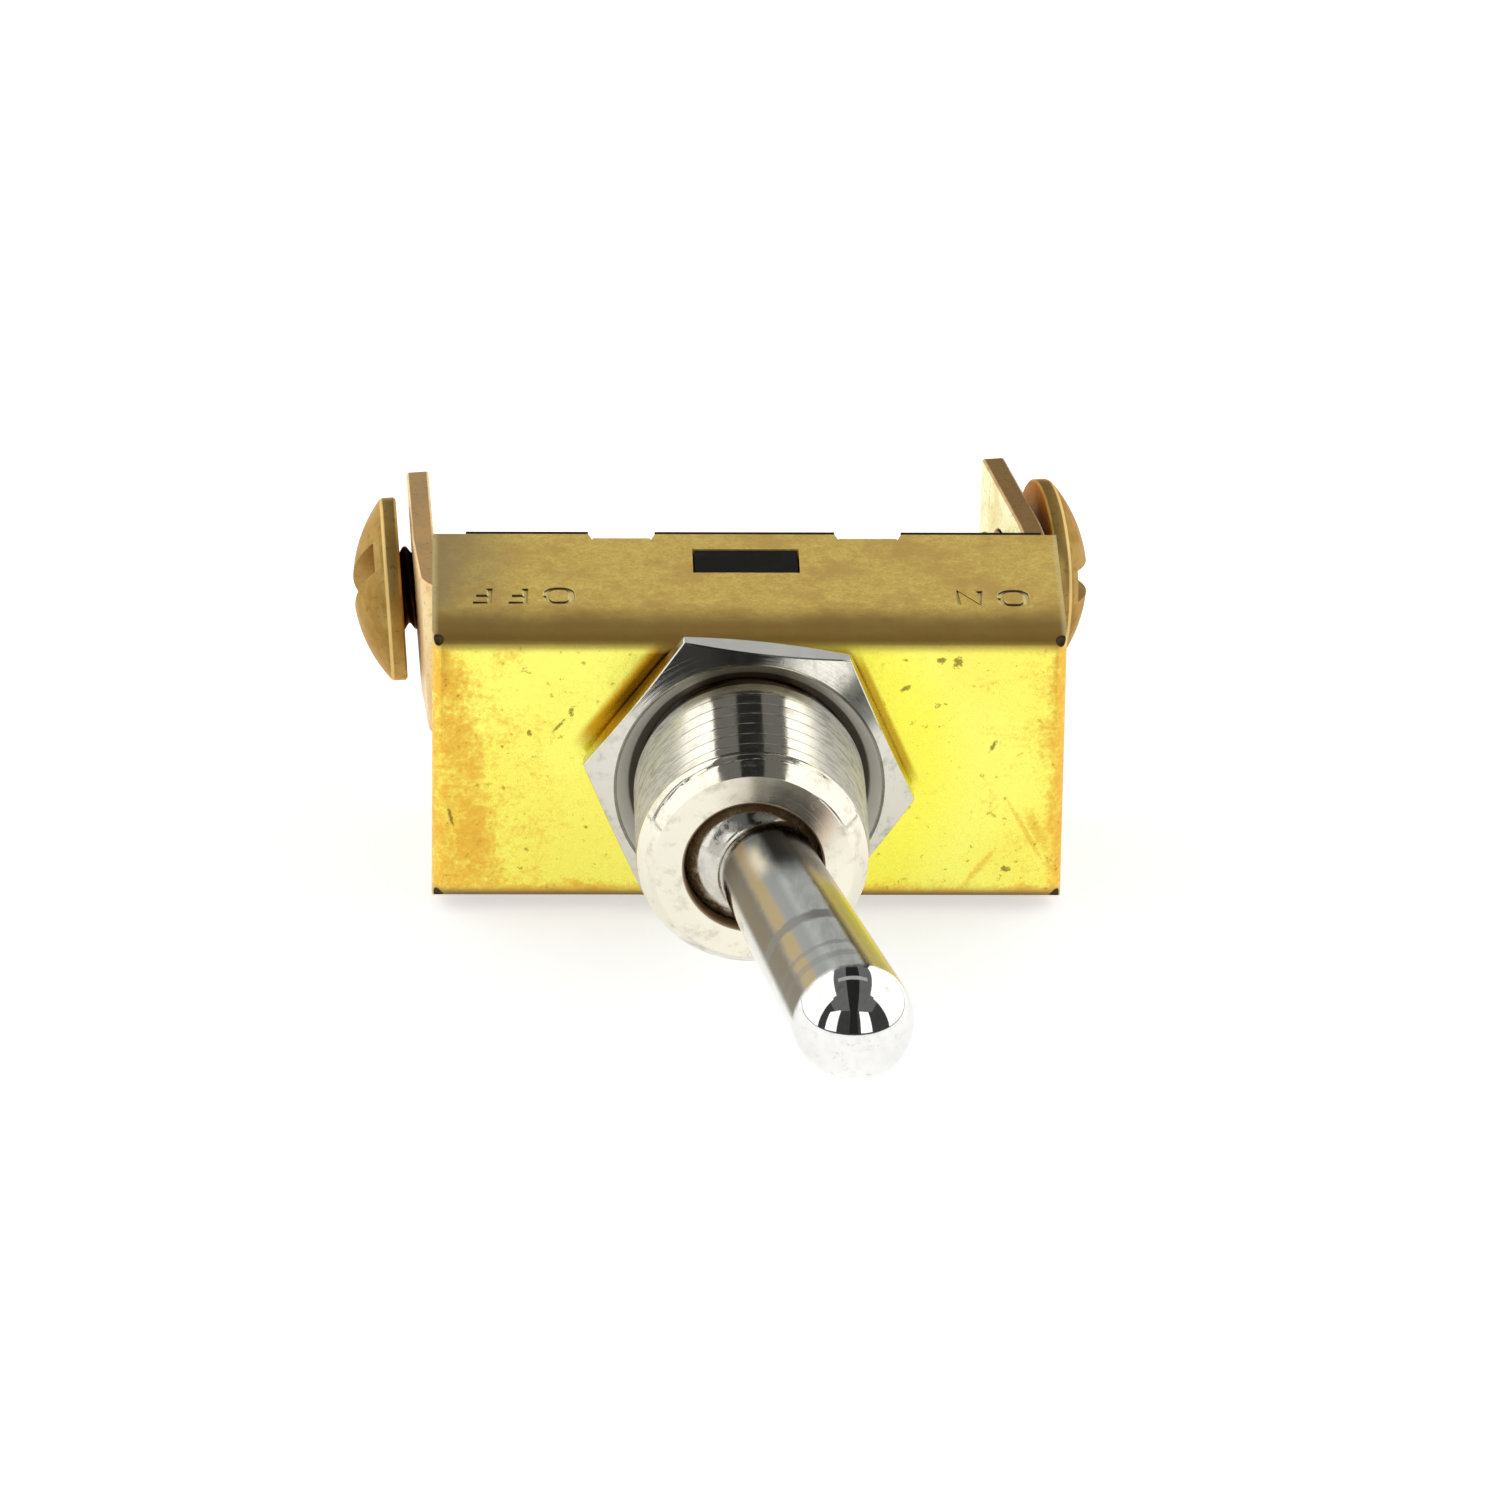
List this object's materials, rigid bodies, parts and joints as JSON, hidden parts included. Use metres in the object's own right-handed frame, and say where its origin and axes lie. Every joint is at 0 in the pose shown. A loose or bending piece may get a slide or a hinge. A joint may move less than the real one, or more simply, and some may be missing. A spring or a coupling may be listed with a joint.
{
  "type": "toggle switch",
  "caption": "Panel toggle switch: folded brass case, threaded bushing with a hex nut, chromed bat lever, sprung rocking contact inside, strip terminals with slotted screws at the rear.",
  "frame": {"origin": "where the bushing's axis meets the case's front face, which lies behind the panel", "axes": "+Z along the bushing towards the lever's tip, +X along the case to its ON end, +Y to the lettered long side"},
  "size_m": [0.0416, 0.0168, 0.0646],
  "materials": {
    "case_brass": "sheet brass, lacquer worn, tarnished",
    "bright_plate": "nickel plate, a little worn",
    "lever_chrome": "bright chrome plate",
    "black_moulding": "black phenolic moulding",
    "terminal_brass": "strip brass, tarnished",
    "screw_brass": "turned brass, tarnished",
    "inner_brass": "strip brass, clean",
    "contact_silver": "silver, dull",
    "steel": "bright steel",
    "fibre": "red vulcanised fibre"
  },
  "bodies": {
    "housing": {"case": "case_brass", "bushing": "bright_plate", "base": "black_moulding", "liner": "fibre", "terminal_left": "terminal_brass", "terminal_right": "terminal_brass", "fulcrum_bracket": "inner_brass", "contact_rivet": "inner_brass", "bracket_rivet": "inner_brass", "rocker_pin": "steel", "fixed_contact": "contact_silver"},
    "lever": {"lever": "lever_chrome", "lever_pin": "steel", "plunger_spring": "steel"},
    "plunger": {"plunger": "fibre"},
    "rocker": {"rocker": "inner_brass", "moving_contact": "contact_silver"},
    "nut": {"mounting_nut": "bright_plate"},
    "screw_left": {"terminal_screw_left": "screw_brass"},
    "screw_right": {"terminal_screw_right": "screw_brass"}
  },
  "joints": [
    {"name": "lever_tilt", "type": "hinge", "parent": "housing", "child": "lever", "pos_m": [0, 0, 0.0092], "axis": [0, 1, 0], "range_deg": [-25.2, 0]},
    {"name": "rocker_tilt", "type": "hinge", "parent": "housing", "child": "rocker", "pos_m": [0, 0, -0.00757], "axis": [0, 1, 0], "range_deg": [0, 15]},
    {"name": "plunger_slide", "type": "slide", "parent": "lever", "child": "plunger", "axis": [0.2181, 0, 0.9759], "range_m": [0, 0.0006], "stiffness_N_per_m": 500, "springref_m": -0.002, "deforming": ["plunger_spring"]},
    {"name": "nut_turn", "type": "hinge", "parent": "housing", "child": "nut", "pos_m": [0, 0, 0], "axis": [0, 0, 1], "continuous": true},
    {"name": "screw_left_turn", "type": "hinge", "parent": "housing", "child": "screw_left", "pos_m": [-0.01775, -0.0005, -0.02513], "axis": [-0.9975, -0.061, 0.0366], "continuous": true},
    {"name": "screw_right_turn", "type": "hinge", "parent": "housing", "child": "screw_right", "pos_m": [0.01551, 0.00056, -0.02498], "axis": [0.9852, -0.0153, -0.171], "continuous": true}
  ],
  "couplings": [
    {"joint": "rocker_tilt", "follows": "lever_tilt", "ratio": -0.5952}
  ]
}
